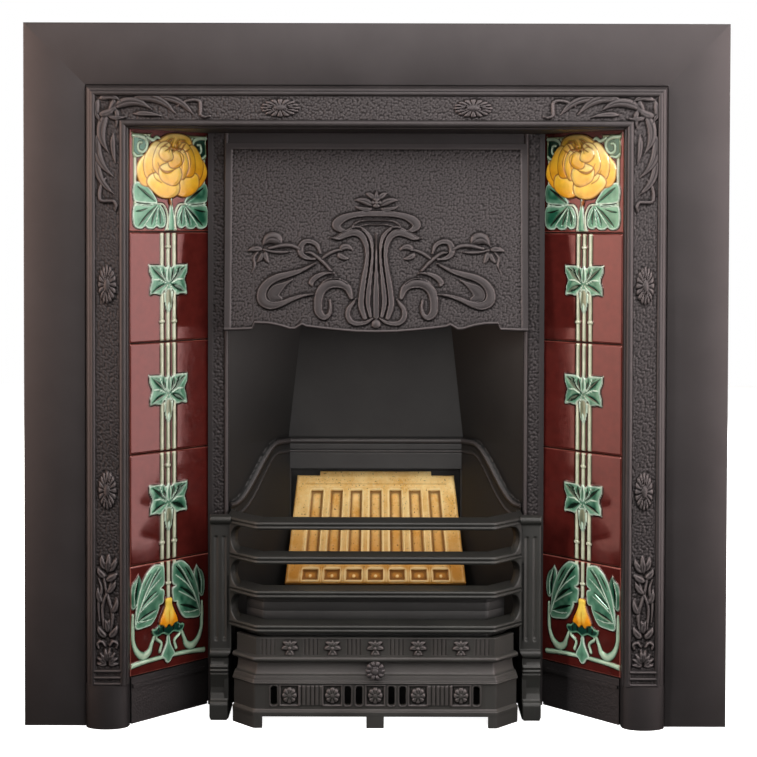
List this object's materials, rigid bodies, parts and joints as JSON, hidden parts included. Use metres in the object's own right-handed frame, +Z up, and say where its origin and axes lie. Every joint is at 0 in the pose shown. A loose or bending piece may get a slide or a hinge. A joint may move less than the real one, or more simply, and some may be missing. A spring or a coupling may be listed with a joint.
{
  "type": "tiled fireplace insert",
  "caption": "Cast-iron fireplace insert with splayed tiled cheeks, a relief hood, a fire chamber, a barred grate and a pierced ash cover.",
  "frame": {"origin": "on the hearth, under the middle of the whole box", "axes": "+Z up, +X to the right as seen from the room, +Y into the wall"},
  "size_m": [0.9652, 0.262, 0.9652],
  "materials": {
    "cast_iron": "matt black, cast surface with hammered grounds",
    "tile_glaze": "oxblood glaze with green, yellow and cream raised-line flowers",
    "fireclay": "buff fireclay, matt, speckled"
  },
  "bodies": {
    "root": {"front_plate": "cast_iron", "tile_slide_left": "cast_iron", "tile_slide_right": "cast_iron", "hood": "cast_iron", "firebox_left": "cast_iron", "firebox_right": "cast_iron", "firebox_back": "cast_iron", "bottom_grate": "cast_iron", "grate_front": "cast_iron", "ashpan_cover": "cast_iron", "ashpan_knob": "cast_iron", "tile_left_1": "tile_glaze", "tile_left_2": "tile_glaze", "tile_left_3": "tile_glaze", "tile_left_4": "tile_glaze", "tile_left_5": "tile_glaze", "tile_right_1": "tile_glaze", "tile_right_2": "tile_glaze", "tile_right_3": "tile_glaze", "tile_right_4": "tile_glaze", "tile_right_5": "tile_glaze", "fireclay_back": "fireclay"}
  },
  "joints": []
}
